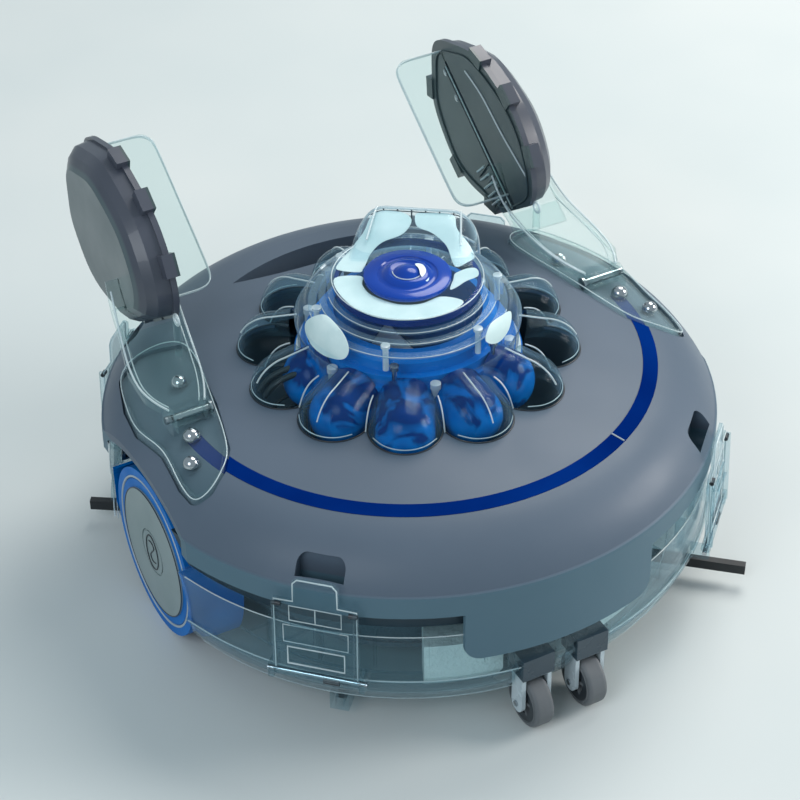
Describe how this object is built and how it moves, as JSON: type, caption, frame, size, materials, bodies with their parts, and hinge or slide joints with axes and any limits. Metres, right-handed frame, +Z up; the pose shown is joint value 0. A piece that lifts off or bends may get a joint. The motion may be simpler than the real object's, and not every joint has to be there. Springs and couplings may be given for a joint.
{
  "type": "robotic pool cleaner",
  "caption": "Round cordless robotic pool cleaner with a turning clear jet nozzle, petal collar, swinging float fins, side wheels, casters and a clear filter tray with latches.",
  "frame": {"origin": "on the body's vertical axis, at floor level under the wheels", "axes": "+Z up; the front, where the clear front casters are, faces -Y; +X is the right side seen from the front view"},
  "size_m": [0.3772, 0.412, 0.2683],
  "materials": {
    "cover_grey": "glossy purplish slate-grey moulded ABS",
    "trim_blue": "glossy navy",
    "pump_blue": "bright blue moulded plastic",
    "clear": "clear polycarbonate, glossy",
    "float_grey": "satin dark slate-grey",
    "foam_white": "closed-cell foam",
    "filter_pad": "coarse filter foam",
    "mesh": "fine woven screen",
    "dark_plastic": "dark moulded plastic",
    "navy_plastic": "dark navy moulded plastic",
    "tyre_blue": "blue ribbed rubber",
    "wheel_grey": "satin light grey",
    "caster_grey": "grey rubber",
    "fork_white": "translucent whitish plastic",
    "black_rubber": "black rubber",
    "steel": "polished stainless steel",
    "brushed": "stainless steel",
    "cell_wrap": "shrink-wrapped cell",
    "board_green": "circuit board",
    "bearing_white": "acetal"
  },
  "bodies": {
    "hull": {"top_cover": "cover_grey", "trim_ring": "trim_blue", "petal_collar": "clear", "pump_housing": "pump_blue", "nozzle_bearing": "bearing_white", "motor_case": "dark_plastic", "motor": "brushed", "motor_bearing": "brushed", "shaft_seal": "black_rubber", "motor_lead": "black_rubber", "battery_case": "dark_plastic", "battery_lid": "dark_plastic", "battery_cells": "cell_wrap", "control_board": "board_green", "chassis_deck": "dark_plastic", "button_switch": "dark_plastic", "charge_port": "dark_plastic", "filter_tray": "clear", "tray_floor": "clear", "filter_screen": "mesh", "filter_foam": "filter_pad", "inlet_frames": "navy_plastic", "wheel_fenders": "pump_blue", "wheel_axles": "steel", "fin_bracket_right": "clear", "fin_bracket_left": "clear", "fin_pins": "steel", "bracket_screws": "steel", "caster_forks": "fork_white", "hinge_pins": "steel", "corner_rods": "black_rubber"},
    "nozzle": {"nozzle_dome": "clear", "nozzle_cap": "pump_blue", "nozzle_screws": "steel"},
    "impeller": {"impeller": "bearing_white", "pump_shaft": "steel"},
    "power_button": {"power_button": "trim_blue"},
    "charge_cap": {"charge_cap": "black_rubber"},
    "inlet_flap_front": {"inlet_flap_front": "black_rubber"},
    "inlet_flap_rear": {"inlet_flap_rear": "black_rubber"},
    "wheel_right": {"wheel_tyre_right": "tyre_blue", "wheel_hub_right": "wheel_grey"},
    "wheel_left": {"wheel_tyre_left": "tyre_blue", "wheel_hub_left": "wheel_grey"},
    "caster_front_right": {"caster_wheel_front_right": "caster_grey"},
    "caster_front_left": {"caster_wheel_front_left": "caster_grey"},
    "caster_rear_right": {"caster_wheel_rear_right": "caster_grey"},
    "caster_rear_left": {"caster_wheel_rear_left": "caster_grey"},
    "fin_right": {"fin_blade_right": "clear", "float_shell_right": "float_grey", "float_plate_right": "float_grey", "float_foam_right": "foam_white"},
    "fin_left": {"fin_blade_left": "clear", "float_shell_left": "float_grey", "float_plate_left": "float_grey", "float_foam_left": "foam_white"},
    "latch_front_right": {"latch_front_right": "clear"},
    "latch_front_left": {"latch_front_left": "clear"},
    "latch_rear_right": {"latch_rear_right": "clear"},
    "latch_rear_left": {"latch_rear_left": "clear"}
  },
  "joints": [
    {"name": "nozzle_turn", "type": "hinge", "parent": "hull", "child": "nozzle", "pos_m": [0, 0, 0.16], "axis": [0, 0, 1], "range_deg": [-144, 36]},
    {"name": "impeller_spin", "type": "hinge", "parent": "hull", "child": "impeller", "pos_m": [0, 0, 0.13], "axis": [0, 0, 1], "continuous": true},
    {"name": "power_press", "type": "slide", "parent": "hull", "child": "power_button", "axis": [0, -1, 0], "range_m": [0, 0.002], "stiffness_N_per_m": 400, "springref_m": -0.0005},
    {"name": "charge_cap_lift", "type": "hinge", "parent": "hull", "child": "charge_cap", "pos_m": [0.022, 0.2006, 0.1176], "axis": [1, 0, 0], "range_deg": [0, 100]},
    {"name": "inlet_flap_front_lift", "type": "hinge", "parent": "hull", "child": "inlet_flap_front", "pos_m": [0, -0.052, 0.0422], "axis": [1, 0, 0], "range_deg": [-60, 0]},
    {"name": "inlet_flap_rear_lift", "type": "hinge", "parent": "hull", "child": "inlet_flap_rear", "pos_m": [0, 0.072, 0.0422], "axis": [1, 0, 0], "range_deg": [-60, 0]},
    {"name": "wheel_right_spin", "type": "hinge", "parent": "hull", "child": "wheel_right", "pos_m": [0.168, 0.0075, 0.0566], "axis": [1, 0, 0], "continuous": true},
    {"name": "wheel_left_spin", "type": "hinge", "parent": "hull", "child": "wheel_left", "pos_m": [-0.168, 0.0075, 0.0566], "axis": [1, 0, 0], "continuous": true},
    {"name": "caster_front_right_spin", "type": "hinge", "parent": "hull", "child": "caster_front_right", "pos_m": [0.019, -0.188, 0.018], "axis": [1, 0, 0], "continuous": true},
    {"name": "caster_front_left_spin", "type": "hinge", "parent": "hull", "child": "caster_front_left", "pos_m": [-0.019, -0.188, 0.018], "axis": [1, 0, 0], "continuous": true},
    {"name": "caster_rear_right_spin", "type": "hinge", "parent": "hull", "child": "caster_rear_right", "pos_m": [0.019, 0.188, 0.018], "axis": [1, 0, 0], "continuous": true},
    {"name": "caster_rear_left_spin", "type": "hinge", "parent": "hull", "child": "caster_rear_left", "pos_m": [-0.019, 0.188, 0.018], "axis": [1, 0, 0], "continuous": true},
    {"name": "fin_right_swing", "type": "hinge", "parent": "hull", "child": "fin_right", "pos_m": [0.15, 0.0075, 0.1555], "axis": [1, 0, 0], "range_deg": [0, 110]},
    {"name": "fin_left_swing", "type": "hinge", "parent": "hull", "child": "fin_left", "pos_m": [-0.15, 0.0075, 0.1555], "axis": [1, 0, 0], "range_deg": [0, 110]},
    {"name": "latch_front_right_open", "type": "hinge", "parent": "hull", "child": "latch_front_right", "pos_m": [0.14228, -0.14479, 0.058], "axis": [0.7133, 0.7009, 0], "range_deg": [0, 95]},
    {"name": "latch_front_left_open", "type": "hinge", "parent": "hull", "child": "latch_front_left", "pos_m": [-0.14228, -0.14479, 0.058], "axis": [0.7133, -0.7009, 0], "range_deg": [0, 95]},
    {"name": "latch_rear_right_open", "type": "hinge", "parent": "hull", "child": "latch_rear_right", "pos_m": [0.14228, 0.14479, 0.058], "axis": [-0.7133, 0.7009, 0], "range_deg": [0, 95]},
    {"name": "latch_rear_left_open", "type": "hinge", "parent": "hull", "child": "latch_rear_left", "pos_m": [-0.14228, 0.14479, 0.058], "axis": [-0.7133, -0.7009, 0], "range_deg": [0, 95]}
  ]
}
